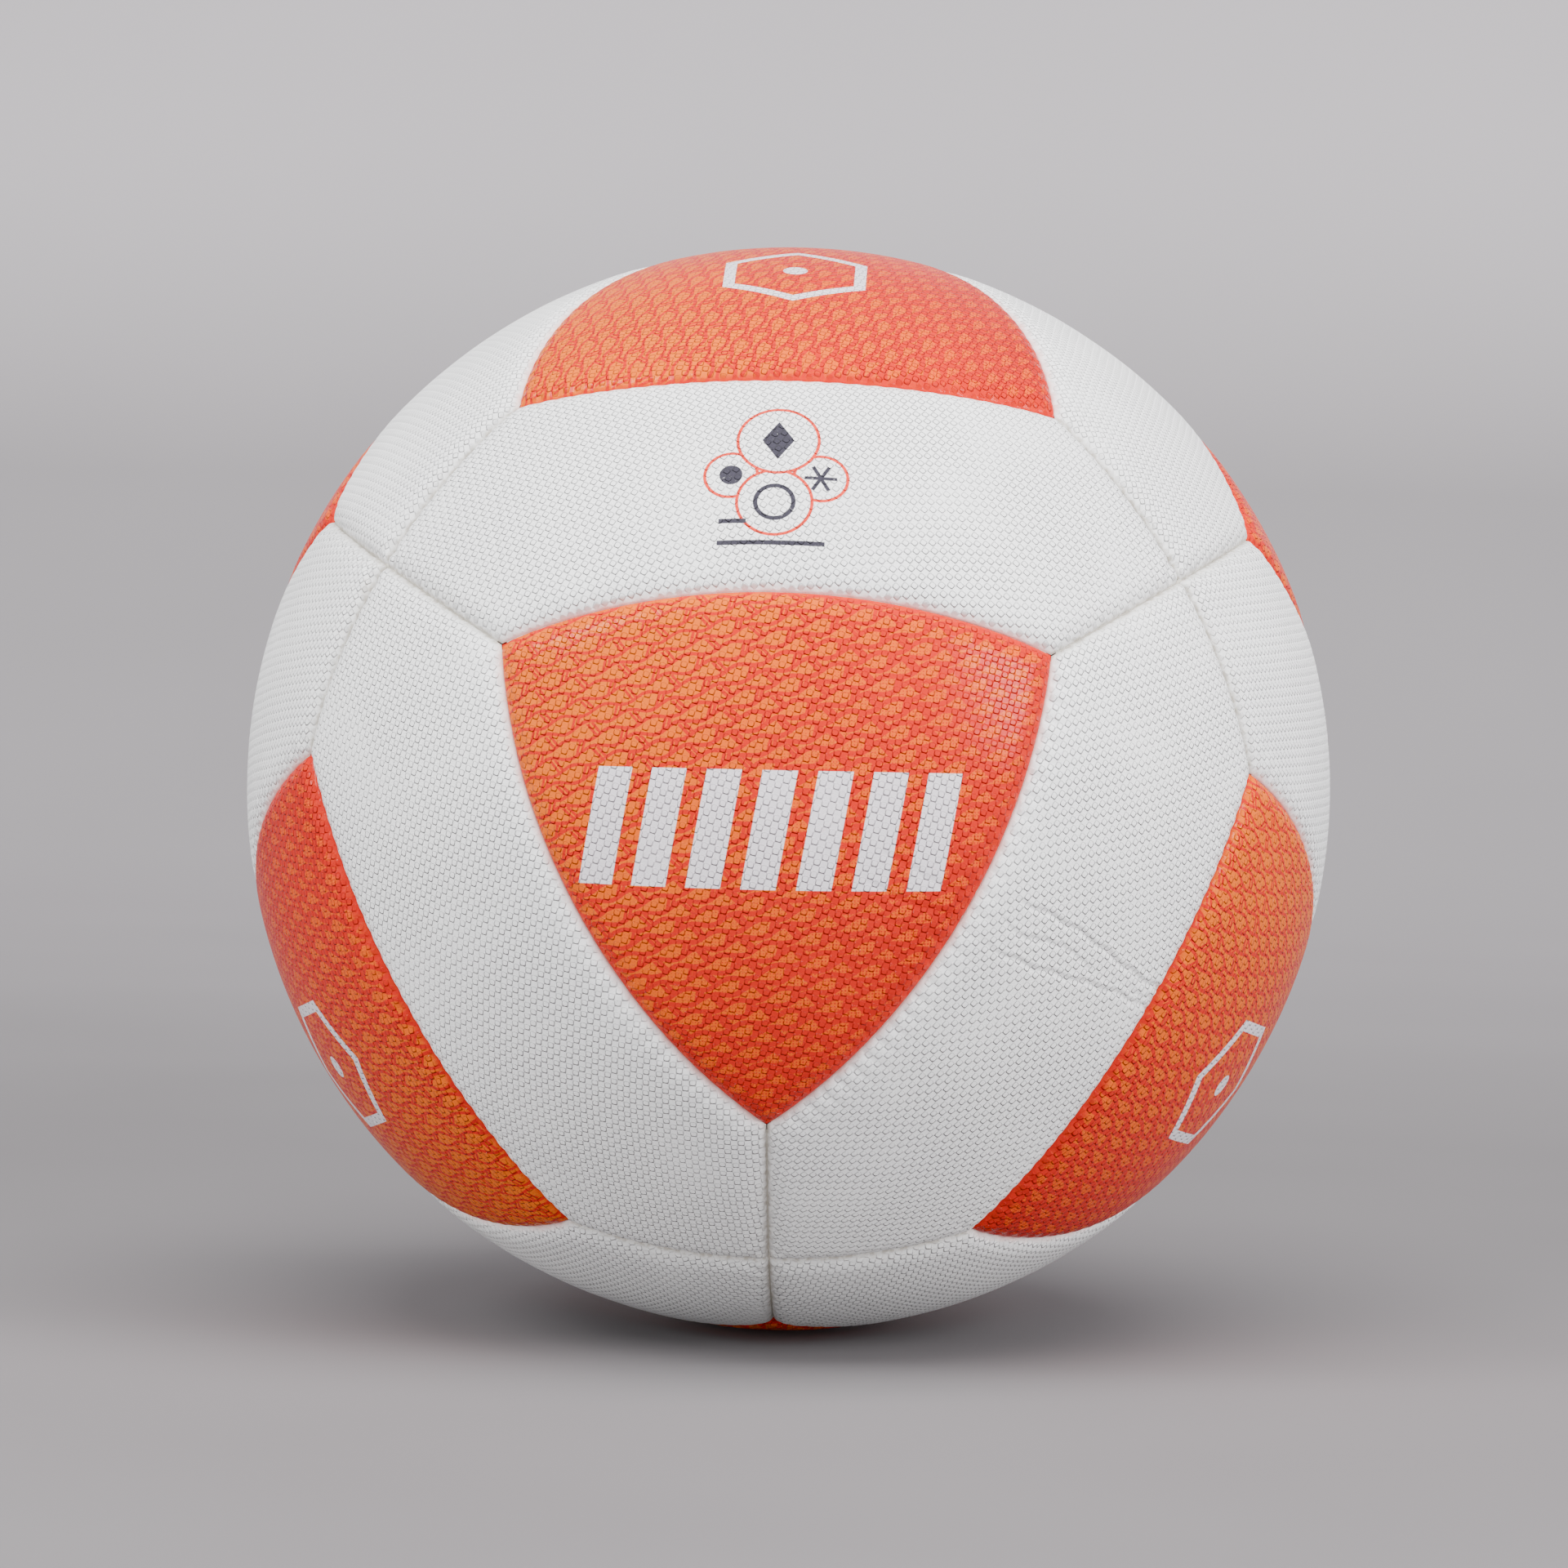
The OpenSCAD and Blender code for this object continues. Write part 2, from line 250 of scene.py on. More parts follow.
def wrinkle_depth(name, directions):
    """Depth of the panel's wrinkles at each direction."""
    total = np.zeros(directions.shape[:-1])
    for panel, start, end, depth in WRINKLES:
        if panel != name:
            continue
        a, b = aimed(*start), aimed(*end)
        along = towards(a, b)
        side = np.cross(a, along)
        length = math.acos(a @ b)
        reach = np.arctan2(directions @ along, directions @ a) / length
        drift = WANDER * np.sin(reach * 7.0 + depth * 40) + QUIVER * np.sin(reach * 41)
        off = directions @ side * BALL_R - drift
        fade = np.clip(np.minimum(reach, 1 - reach) * 5, 0, 1)
        fade = fade * fade * (3 - 2 * fade)
        valley = np.exp(-(off / WRINKLE_W) ** 2)
        ridge = 0.3 * np.exp(-((off - 1.9 * WRINKLE_W) / WRINKLE_W) ** 2)
        total += depth * MM * fade * (valley - ridge)
    return total


def seam_relief(directions, edges, seed):
    """Height lost near the seams. edges lists (distance to the edge, way along it), both
    as arrays of lengths on the ball."""
    rolled = np.zeros(directions.shape[:-1])
    puckered = np.zeros(directions.shape[:-1])
    rng = np.random.default_rng(seed)
    for distance, along in edges:
        near = np.clip(1 - distance / ROLL_W, 0, 1)
        rolled += (ROLL_DEPTH * (1 - np.sqrt(1 - near * near))) ** 3
        phase = rng.uniform(0, TURN)
        jitter = 0.9 * np.sin(along / (11 * MM) + phase)
        wave = 0.5 + 0.5 * np.cos(along / STITCH_PITCH * TURN + jitter)
        strength = 0.75 + 0.25 * np.sin(along / (17 * MM) + 2 * phase)
        fall = np.exp(-(np.maximum(distance, 0) / PUCKER_REACH) ** 1.5)
        rise = np.clip(distance / PUCKER_START, 0, 1)
        puckered += PUCKER_DEPTH * wave * wave * strength * fall * rise
    return np.minimum(np.cbrt(rolled), ROLL_DEPTH) + puckered


class Panel:
    """Collects the points and faces of a panel's closed mesh and makes the object."""

    def __init__(self, name, centre, up, mark_at=(0, 0)):
        self.name = name
        self.centre = centre
        self.up = up
        self.mark_at = np.array(mark_at)
        self.right = np.cross(up, centre)
        self.points = []
        self.count = 0
        self.faces = []

    def add(self, points):
        """Adds points and returns their numbers in the same layout."""
        flat = points.reshape(-1, 3)
        numbers = np.arange(self.count, self.count + len(flat)).reshape(points.shape[:-1])
        self.points.append(flat)
        self.count += len(flat)
        return numbers

    def skin(self, rows, closed):
        """Quads between neighbouring rows of numbers."""
        following = np.roll(rows, -1, axis=1) if closed else rows[:, 1:]
        before = rows if closed else rows[:, :-1]
        quads = np.stack([before[:-1], following[:-1], following[1:], before[1:]], axis=-1)
        self.faces.extend(quads.reshape(-1, 4).tolist())

    def fan(self, hub, ring, closed, flip=False):
        """Triangles from one point to a row of numbers."""
        ring = ring.tolist()
        pairs = list(zip(ring, ring[1:] + ring[:1])) if closed else list(zip(ring, ring[1:]))
        for a, b in pairs:
            self.faces.append((hub, b, a) if flip else (hub, a, b))

    def flat_place(self, directions):
        """Place on the panel in millimetres, as if it were laid flat from its centre."""
        reach = np.arccos(np.clip(directions @ self.centre, -1, 1))
        across, up = directions @ self.right, directions @ self.up
        size = np.maximum(np.hypot(across, up), 1e-9)
        scale = reach * BALL_R / MM / size
        return np.stack([across * scale, up * scale], axis=-1)

    def finish(self, edge_places, grain_turn, material, slot):
        """Makes the object. edge_places gives two distances to the seams for its UV map."""
        points = np.concatenate(self.points)
        mesh = bpy.data.meshes.new(self.name + "_skin")
        mesh.from_pydata(points.tolist(), [], self.faces)
        shape = bmesh.new()
        shape.from_mesh(mesh)
        bmesh.ops.recalc_face_normals(shape, faces=shape.faces)
        shape.to_mesh(mesh)
        shape.free()
        directions = unit(points)
        flat = self.flat_place(directions)
        turn = math.radians(grain_turn)
        grain = np.stack([
            flat[:, 0] * math.cos(turn) + flat[:, 1] * math.sin(turn),
            flat[:, 1] * math.cos(turn) - flat[:, 0] * math.sin(turn),
        ], axis=-1)
        corners = np.empty(len(mesh.loops), dtype=np.int32)
        mesh.loops.foreach_get("vertex_index", corners)
        for layer, values in (("Print", flat), ("Mark", flat - self.mark_at),
                              ("Grain", grain), ("Edge", edge_places(directions) / MM)):
            uv = mesh.uv_layers.new(name=layer)
            uv.data.foreach_set("uv", values[corners].astype(np.float32).ravel())
        mesh.polygons.foreach_set("use_smooth", np.ones(len(mesh.polygons), dtype=bool))
        mesh.materials.append(material)
        piece = bpy.data.objects.new("skin_" + self.name, mesh)
        bpy.context.scene.collection.objects.link(piece)
        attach(piece, "root")
        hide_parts(self.name)


def triangle_edges(poles):
    """Function of directions giving (distance to the edge, way along it) for three sides."""
    def edges(directions):
        out = []
        for pole, tangent in poles:
            reach = np.arccos(np.clip(directions @ pole, -1, 1))
            distance = (POLE_REACH - reach) * BALL_R - HALF_SEAM
            side = np.cross(pole, tangent)
            flat = directions - (directions @ pole)[..., None] * pole
            ahead = -np.cross(side, pole)
            along = np.arctan2(flat @ side, flat @ ahead) * math.sin(POLE_REACH) * BALL_R
            out.append((distance, along))
        return out
    return edges


def make_triangle(name, signs, up_axis, up_sign, mark_at, material, seed):
    """Curved triangle on a polar grid. The back one has the valve hole in its middle."""
    centre = unit(np.array(signs, dtype=float) @ CUBE)
    poles = triangle_poles(centre, signs)
    panel = Panel(name, centre, up_sign * poles[up_axis][1], mark_at)
    edges = triangle_edges(poles)

    # Outline, one side after another, evenly spaced along each
    reach = POLE_REACH - HALF_SEAM / BALL_R
    # The corner lies opposite the pole of its own axis, 60 degrees off the other two
    a, b = math.cos(POLE_TILT), -math.sin(POLE_TILT) / 2
    corner = math.atan2(b, a) + math.acos(math.cos(reach) / math.hypot(a, b))
    half_turn = math.asin(math.sin(corner) * math.sin(math.radians(60)) / math.sin(reach))
    outline = []
    for pole, tangent in poles:
        east = np.cross(centre, tangent)
        inward = unit(tangent - pole * (pole @ tangent))
        for step in range(SIDE_STEPS):
            turn = -half_turn + 2 * half_turn * step / SIDE_STEPS
            away = -math.cos(turn) * inward - math.sin(turn) * east
            outline.append(math.cos(reach) * pole + math.sin(reach) * away)
    outline = np.array(outline)
    bearing = np.arctan2(outline @ panel.up, outline @ panel.right)
    outline = outline[np.argsort(bearing)]

    hole = HOLE_R / BALL_R if name == "orange_back" else 0.0
    far = np.arccos(outline @ centre)
    heading = unit(outline - centre * (outline @ centre)[:, None])

    def ring(reaches, radius):
        return radius[:, None] * (np.cos(reaches)[:, None] * centre
                                  + np.sin(reaches)[:, None] * heading)

    def surface(directions):
        height = BALL_R - seam_relief(directions, edges(directions), seed)
        height = height + TRIANGLE_LUMPS * lumps(directions * BALL_R, seed)
        return np.minimum(height - wrinkle_depth(name, directions), SKIN_MAX_R)

    def top_ring(share):
        reaches = hole + (far - hole) * share
        directions = ring(reaches, np.ones(len(far)))
        height = surface(directions)
        if hole:
            lip = np.clip(1 - (reaches - hole) * BALL_R / (3 * HOLE_LIP), 0, 1)
            height = height - HOLE_LIP * lip * lip
        return directions * height[:, None]

    rows = [top_ring(share) for share in cosine_step(TRIANGLE_RINGS)]
    if not hole:
        rows = rows[1:]
    under = np.full(len(far), UNDERCUT_R)
    floor = np.full(len(far), COVER_IN_R)
    back = far - UNDERCUT / BALL_R
    rows.append(ring(back, under))
    rows.append(ring(back, floor))
    for share in (0.9, 0.75, 0.55, 0.35, 0.15):
        rows.append(ring(hole + (back - hole) * share, floor))
    if hole:
        rows.append(ring(np.full(len(far), hole), floor))
        rows.append(ring(np.full(len(far), hole), under + HOLE_STEP))
    numbers = panel.add(np.stack(rows))
    panel.skin(numbers, closed=True)
    if hole:
        panel.skin(np.stack([numbers[-1], numbers[0]]), closed=True)
    else:
        top = panel.add(centre[None] * surface(centre[None])[:, None])
        panel.fan(int(top[0]), numbers[0], closed=True)
        bottom = panel.add(np.array([centre * COVER_IN_R]))
        panel.fan(int(bottom[0]), numbers[-1], closed=True, flip=True)

    def places(directions):
        nearest = np.min([d for d, _ in edges(directions)], axis=0)
        return np.stack([nearest, np.full_like(nearest, NO_END)], axis=-1)

    panel.finish(places, GRAIN_TURN_ORANGE, material, "printed_cover")


def make_long_panel(name, signs, grain_turn, material, seed):
    """Long panel on a grid: longitude runs along its length and latitude across it."""
    signs = np.array(signs, dtype=float)
    centre = unit(signs @ CUBE)
    cross = int(np.where(signs == 0)[0][0])
    ends = [k for k in range(3) if k != cross]
    across = CUBE[cross]
    length = np.cross(across, centre)
    if across @ UPRIGHT < 0:
        across, length = -across, -length
    panel = Panel(name, centre, across)
    tilt = math.pi / 2 - CUBE_TO_CORNER + POLE_TILT
    poles = [math.cos(tilt) * centre + math.sin(tilt) * side * across for side in (1, -1)]
    end_planes = [unit(signs[k] * CUBE[k] + side * across) for k in ends for side in (1, -1)]

    def edges(directions):
        out = []
        for pole in poles:
            reach = np.arccos(np.clip(directions @ pole, -1, 1))
            distance = (reach - POLE_REACH) * BALL_R - HALF_SEAM
            along = np.arctan2(directions @ length, directions @ centre)
            out.append((distance, along * BALL_R * math.cos(SIDE_LATITUDE)))
        for plane in end_planes:
            distance = np.arcsin(np.clip(directions @ plane, -1, 1)) * BALL_R - HALF_CROSS
            nearest_end = np.maximum(directions @ (signs[ends[0]] * CUBE[ends[0]]),
                                     directions @ (signs[ends[1]] * CUBE[ends[1]]))
            out.append((distance, np.arccos(np.clip(nearest_end, -1, 1)) * BALL_R))
        return out

    half = HALF_SEAM / BALL_R

    def width_at(lon):
        """Latitude of the panel's edge at a longitude, and whether a triangle bounds it."""
        a, b = math.cos(lon) * math.cos(tilt), math.sin(tilt)
        long_side = math.atan2(b, a) - math.acos(math.cos(POLE_REACH + half) / math.hypot(a, b))
        a = math.cos(math.pi / 4 + abs(lon))
        limit = math.sqrt(2) * math.sin(HALF_CROSS / BALL_R)
        end_side = math.acos(min(limit / math.hypot(a, 1), 1)) - math.atan2(1, a)
        return min(long_side, end_side), long_side < end_side

    # Longitude of the corner where a triangle's side meets a short seam, by halving
    low, high = 0.0, math.pi / 4
    for _ in range(50):
        middle = (low + high) / 2
        if width_at(middle)[1]:
            low = middle
        else:
            high = middle
    corner = low
    tip = math.acos(math.sqrt(2) * math.sin(HALF_CROSS / BALL_R)) - math.pi / 4
    detail = 2 if name in CREASED else 1
    run = corner + (tip - corner) * cosine_step(TIP_STEPS - 1)
    body = np.linspace(-corner, corner, BODY_STEPS * detail)
    lons = np.concatenate([-run[::-1][:-1], body, run[1:]])[1:-1]
    widths = np.array([width_at(lon)[0] for lon in lons])

    def row(share, radius=None, narrow=0.0):
        """Points along the panel at a share of its half width, on the skin if no radius is
        given. narrow draws the edge in, though never past a fifth of the width."""
        lats = np.maximum(widths - narrow / BALL_R, widths * 0.2) * share
        drawn = lons * (1 - narrow / BALL_R / tip)
        directions = (np.sin(drawn) * np.cos(lats))[:, None] * length
        directions = directions + np.sin(lats)[:, None] * across
        directions = directions + (np.cos(drawn) * np.cos(lats))[:, None] * centre
        if radius is not None:
            return directions * radius
        height = BALL_R - seam_relief(directions, edges(directions), seed)
        height = height + LONG_LUMPS * lumps(directions * BALL_R, seed)
        height = height - wrinkle_depth(name, directions)
        return directions * np.minimum(height, SKIN_MAX_R)[:, None]

    def end_point(sign, radius, narrow=0.0):
        lon = sign * (tip - narrow / BALL_R)
        return radius * (math.sin(lon) * length + math.cos(lon) * centre)

    fine = cosine_step(HALF_ROWS * detail)
    shares = np.concatenate([-fine[::-1], fine[1:]])
    rows = [row(share) for share in shares]
    rows.append(row(1.0, UNDERCUT_R, UNDERCUT))
    for share in (1.0, 0.8, 0.5, 0.0, -0.5, -0.8, -1.0):
        rows.append(row(share, COVER_IN_R, UNDERCUT))
    rows.append(row(-1.0, UNDERCUT_R, UNDERCUT))
    numbers = panel.add(np.stack(rows))
    # The rows run round the panel like a tube, which the two ends close
    around = numbers.T
    panel.skin(around, closed=True)
    top = len(shares)
    for sign, column in ((-1, 0), (1, -1)):
        loop = around[column]
        crest = BALL_R - ROLL_DEPTH
        tips = panel.add(np.array([
            end_point(sign, crest),
            end_point(sign, UNDERCUT_R, UNDERCUT),
            end_point(sign, COVER_IN_R, UNDERCUT),
        ]))
        upper, middle, lower = (int(n) for n in tips)
        flip = sign < 0
        panel.fan(upper, loop[:top], closed=False, flip=flip)
        panel.fan(lower, loop[top:], closed=False, flip=flip)
        sides = ((upper, middle, loop[top], loop[top - 1]),
                 (middle, upper, loop[0], loop[-1]))
        for a, b, c, d in sides:
            quad = [int(a), int(b), int(c), int(d)]
            panel.faces.append(quad[::-1] if flip else quad)
        for corner_face in ([middle, lower, int(loop[top])], [lower, middle, int(loop[-1])]):
            panel.faces.append(corner_face[::-1] if flip else corner_face)

    def places(directions):
        found = [d for d, _ in edges(directions)]
        return np.stack([np.minimum(found[0], found[1]), np.min(found[2:], axis=0)], axis=-1)

    panel.finish(places, grain_turn, material, "white_cover")


# ---------------------------------------------------------------- material building

class Value:
    """A number in a node graph. Arithmetic on values adds Math nodes."""

    def __init__(self, tree, socket):
        self.tree = tree
        self.socket = socket

    def math(self, operation, *others, clamp=False):
        node = self.tree.nodes.new("ShaderNodeMath")
        node.operation = operation
        node.use_clamp = clamp
        for i, value in enumerate((self,) + others):
            if isinstance(value, Value):
                self.tree.links.new(value.socket, node.inputs[i])
            else:
                node.inputs[i].default_value = float(value)
        return Value(self.tree, node.outputs[0])

    def __add__(self, other):
        return self.math("ADD", other)

    def __sub__(self, other):
        return self.math("SUBTRACT", other)

    def __rsub__(self, other):
        return (self * -1) + other

    def __mul__(self, other):
        return self.math("MULTIPLY", other)

    def __truediv__(self, other):
        return self.math("DIVIDE", other)

    def sin(self):
        return self.math("SINE")

    def cos(self):
        return self.math("COSINE")

    def abs(self):
        return self.math("ABSOLUTE")

    def floor(self):
        return self.math("FLOOR")

    def fraction(self):
        return self.math("FRACT")

    def root(self):
        return self.math("SQRT")

    def clamped(self):
        """Kept between 0 and 1."""
        return self.math("ADD", 0.0, clamp=True)

    def least(self, other):
        return self.math("MINIMUM", other)

    def most(self, other):
        return self.math("MAXIMUM", other)

    def step(self, low, high):
        """Smooth step from 0 at low to 1 at high. low may be over high."""
        node = self.tree.nodes.new("ShaderNodeMapRange")
        node.interpolation_type = "SMOOTHSTEP"
        for name, value in (("From Min", low), ("From Max", high)):
            if isinstance(value, Value):
                self.tree.links.new(value.socket, node.inputs[name])
            else:
                node.inputs[name].default_value = value
        self.tree.links.new(self.socket, node.inputs["Value"])
        return Value(self.tree, node.outputs["Result"])


SOFT = 0.09     # half the width in mm of a printed line's soft edge


class Finish:
    """A material under construction: its node tree, shader and coordinates."""

    def __init__(self, name, **sockets):
        self.material = bpy.data.materials.new(name)
        self.material.use_nodes = True
        self.tree = self.material.node_tree
        self.shader = self.tree.nodes["Principled BSDF"]
        for socket, value in sockets.items():
            self.shader.inputs[socket.replace("_", " ")].default_value = value

    def place(self, layer):
        """x and y of a UV layer, in mm. Print, Mark and Grain are places on the panel laid
        flat. Edge holds the distance to the nearest long seam and to the nearest short one."""
        uv = self.tree.nodes.new("ShaderNodeUVMap")
        uv.uv_map = layer
        split = self.tree.nodes.new("ShaderNodeSeparateXYZ")
        self.tree.links.new(uv.outputs["UV"], split.inputs[0])
        return Value(self.tree, split.outputs[0]), Value(self.tree, split.outputs[1])

    def noise(self, pitch, detail=2.0, rough=0.5):
        """Noise over the object with features of about the given size in mm, from 0 to 1."""
        where = self.tree.nodes.new("ShaderNodeTexCoord")
        node = self.tree.nodes.new("ShaderNodeTexNoise")
        node.inputs["Scale"].default_value = 1 / (pitch * MM)
        node.inputs["Detail"].default_value = detail
        node.inputs["Roughness"].default_value = rough
        self.tree.links.new(where.outputs["Object"], node.inputs["Vector"])
        return Value(self.tree, node.outputs["Fac"])

    def blend(self, share, low, high):
        """Colour between low and high. Each is a colour or a colour socket."""
        node = self.tree.nodes.new("ShaderNodeMix")
        node.data_type = "RGBA"
        node.clamp_factor = True
        self.tree.links.new(share.socket, node.inputs["Factor"])
        for socket, colour in ((node.inputs[6], low), (node.inputs[7], high)):
            if isinstance(colour, tuple):
                socket.default_value = (*colour, 1.0)
            else:
                self.tree.links.new(colour, socket)
        return node.outputs[2]

    def wear(self, colour, rough, height=None, depth=0.0):
        """Connects the results. depth is the height's real size in mm."""
        self.tree.links.new(colour, self.shader.inputs["Base Color"])
        self.tree.links.new(rough.socket, self.shader.inputs["Roughness"])
        if height is not None:
            bump = self.tree.nodes.new("ShaderNodeBump")
            bump.inputs["Strength"].default_value = 1.0
            bump.inputs["Distance"].default_value = depth * MM
            self.tree.links.new(height.socket, bump.inputs["Height"])
            for socket in ("Normal", "Coat Normal"):
                self.tree.links.new(bump.outputs["Normal"], self.shader.inputs[socket])
        return self.material


GRAIN_X, GRAIN_Y = 2.6, 1.22    # pitch of the pads along a row, and of the rows, in mm
GRAIN_DEPTH = 0.60              # in mm


def grain_height(finish):
    """Embossed grain: rows of small square pads, each row half a pitch off the last.
    Returns the height, and the band round each pad's edge where shade is painted, each from 0 to
    1."""
    x, y = finish.place("Grain")
    # The rows bend a little across the panel
    drift = finish.noise(34.0) * 5.0
    x = x + drift * 0.35
    y = y + drift * 0.2
    weave = (x * (TURN / GRAIN_X)).cos() * (y * (TURN / (2 * GRAIN_Y))).cos()
    pads = weave.step(-0.14, 0.42)
    # The pads fade out on the rolled edge, and are pressed less deep in some areas
    edge, end = finish.place("Edge")
    flat = edge.least(end).step(0.1, 1.6)
    strength = finish.noise(22.0).step(0.25, 0.6) * 0.4 + 0.6
    fine = finish.noise(0.45, 3.0, 0.6) * 0.07
    # Band round each pad's edge, for painted shade
    pad_edge_shade = (pads * (1 - pads) * 4.0) * flat * strength
    return pads * flat * strength + fine, pad_edge_shade


WHITE = (0.90, 0.90, 0.89)
OFF_WHITE = (0.85, 0.85, 0.85)
PAD_SHADE_GREY = (0.40, 0.39, 0.40)       # painted shade round each pad
STAIN = (0.66, 0.55, 0.40)
ORANGE_REFLECTION = (0.80, 0.20, 0.12)          # painted reddish reflection of the orange panel at the seam
SEAM_DIRT_AND_SHADE = (0.50, 0.49, 0.46)         # painted valley shade and dirt in the short seams
# Painted shade in the crease of the short seams
CREASE_SHADE = (0.36, 0.32, 0.26)


def white_finish(name, marks=None):
    """White synthetic leather."""
    finish = Finish(name, Specular_IOR_Level=0.45, Sheen_Weight=0.05)
    height, pad_edge_shade = grain_height(finish)
    edge, end = finish.place("Edge")
    tone = finish.noise(38.0, 3.0)
    colour = finish.blend(tone.step(0.3, 0.75), WHITE, OFF_WHITE)
    # Painted shade round each pad
    colour = finish.blend(pad_edge_shade * 0.55, colour, PAD_SHADE_GREY)
    stain = finish.noise(7.0, 4.0, 0.7).step(0.56, 0.8) * end.step(5.0, 0.5) * 0.4
    colour = finish.blend(stain, colour, STAIN)
    # Painted reflection of the orange panel: reddish near the long seams
    orange_reflection = edge.step(1.5, 0.0) * (finish.noise(4.0, 3.0).step(0.3, 0.8) * 0.35 + 0.15)
    colour = finish.blend(orange_reflection, colour, ORANGE_REFLECTION)
    # Greyer towards the short seams: painted valley shade and dirt
    colour = finish.blend(end.step(4.0, 0.0) * 0.22, colour, SEAM_DIRT_AND_SHADE)
    # Darker right at the short seams: painted shade in the crease
    crease_shade = end.step(1.0, 0.1) * (finish.noise(1.2, 2.0).step(0.42, 0.62) * 0.5 + 0.3)
    colour = finish.blend(crease_shade, colour, CREASE_SHADE)
    if marks:
        colour = marks(finish, colour)
    rough = finish.noise(5.0, 3.0) * 0.14 + height * -0.06 + 0.38
    return finish.wear(colour, rough, height, GRAIN_DEPTH)


DEEP_RED = (0.55, 0.012, 0.004)     # the lines where the print is light, and the rim
SHADE_RED = (0.38, 0.007, 0.004)    # the lines where the print is dense
PAD_SHADE_RED = (0.20, 0.012, 0.006)      # painted shade round each pad
AMBER = (0.70, 0.118, 0.0)
ORANGE = (0.70, 0.062, 0.0)
FRONT_TILT = 17     # rise of the printed strands, in degrees
SIDE_TILT = 72
STRAND_L = 8.8      # length of one printed strand, in mm
STRAND_H = 2.35     # height of one row of strands
STRAND_SWELL = 0.55     # how far its edges wave up and down
BARS = (1.0, 1.95)  # where two short bars cross each strand, from its start
BAR_LEAN = 0.55
DOT_PITCH = 1.3     # of the halftone dots


def strand_lines(finish, tilt, growth):
    """Printed lines between overlapping strands. They thicken as growth goes to 1."""
    x, y = finish.place("Print")
    turn = math.radians(tilt)
    wobble = finish.noise(13.0, 2.0) * 1.5
    u = x * math.cos(turn) + y * math.sin(turn) + wobble
    v = y * math.cos(turn) - x * math.sin(turn) + wobble * 0.6
    ragged = finish.noise(0.9, 2.0, 0.6) * 0.22
    width = growth * 0.40 + ragged + 0.21
    # One wavy line between each two rows. Every second one is half a wave along
    nearest = (v / STRAND_H + 0.5).floor()
    wave = (u * (TURN / STRAND_L) + nearest * math.pi).sin() * STRAND_SWELL
    line = (v - nearest * STRAND_H - wave).abs()
    lines = (line - width).step(SOFT, -SOFT)
    # Two short bars across each strand, which lean the other way in every second row
    row = (v / STRAND_H).floor()
    rise = v - row * STRAND_H
    lean = (row * 0.5).fraction() * 4.0 - 1.0
    cell = ((u - rise * lean * BAR_LEAN) / STRAND_L + row * 0.5 + 0.2).fraction() * STRAND_L
    bars = (cell - BARS[0]).abs().least((cell - BARS[1]).abs())
    return lines.most((bars - width * 0.9).step(SOFT, -SOFT))


def orange_finish(name, tilt, slope, marks=None):
    """Printed orange synthetic leather. slope is how much denser and redder the print gets
    for each mm to the right and upwards."""
    finish = Finish(name, Specular_IOR_Level=0.06, Coat_Weight=0.34, Coat_Roughness=0.10)
    height, pad_edge_shade = grain_height(finish)
    x, y = finish.place("Print")
    patchy = finish.noise(30.0, 2.0)
    growth = (x * slope[0] + y * slope[1] + patchy * 0.5 + 0.16).clamped()
    base = finish.blend(growth, AMBER, ORANGE)
    red = finish.blend(growth.step(0.65, 1.15), DEEP_RED, SHADE_RED)
    # Halftone dots that grow where the print is dense
    rate = TURN / DOT_PITCH
    lattice = ((x * rate).cos() * (y * rate).cos()).abs()
    size = 1.0 - growth.step(0.10, 1.15) * 0.62
    dots = (lattice - size).step(-0.06, 0.12) * 0.85
    colour = finish.blend(dots.most(strand_lines(finish, tilt, growth)), base, red)
    # A plain red rim, wider where the print is dense
    edge, _ = finish.place("Edge")
    rim = (edge - growth * 2.6).step(0.9, -0.4)
    colour = finish.blend(rim * 0.85, colour, DEEP_RED)
    # Painted shade round each pad
    colour = finish.blend(pad_edge_shade * 0.20, colour, PAD_SHADE_RED)
    if marks:
        colour = marks(finish, colour)
    rough = finish.noise(5.0, 3.0) * 0.12 + height * -0.08 + 0.42
    return finish.wear(colour, rough, height, GRAIN_DEPTH)


# ---------------------------------------------------------------- generic printed marks

PRINT_WHITE = (0.70, 0.655, 0.69)
# Painted shade round each pad on the printed bars
PRINT_SHADE = (0.45, 0.38, 0.42)
INK = (0.030, 0.027, 0.040)
RING_RED = (0.66, 0.030, 0.010)


def rub(finish, pitch):
    """Small gaps worn in a print, as 1 where it holds and 0 where it is gone."""
    return finish.noise(pitch, 3.0, 0.7).step(0.27, 0.36)


def within(distance, size):
    """1 where a distance in mm is under size, with a soft edge."""
    return distance.step(size + SOFT, size - SOFT)


def stripe_mark(finish, colour):
    """Plain band of seven slanted white bars."""
    bars, pitch, slant = 7, 10.4, 0.17
    half_bar, half_height = 3.3, 11.2
    x, y = finish.place("Mark")
    along = x - y * slant
    bar = ((along / pitch + 0.5).fraction() - 0.5).abs() * pitch
    shown = within(bar, half_bar)
    end = pitch * bars / 2
    shown = shown * along.abs().step(end, end - 0.1)
    shown = shown * within(y.abs(), half_height)
    pad_edge_shade = grain_height(finish)[1]
    # Painted shade round each pad on the white bars
    white = finish.blend(pad_edge_shade * 0.30, PRINT_WHITE, PRINT_SHADE)
    return finish.blend(shown * (rub(finish, 1.6) * 0.12 + 0.88), colour, white)


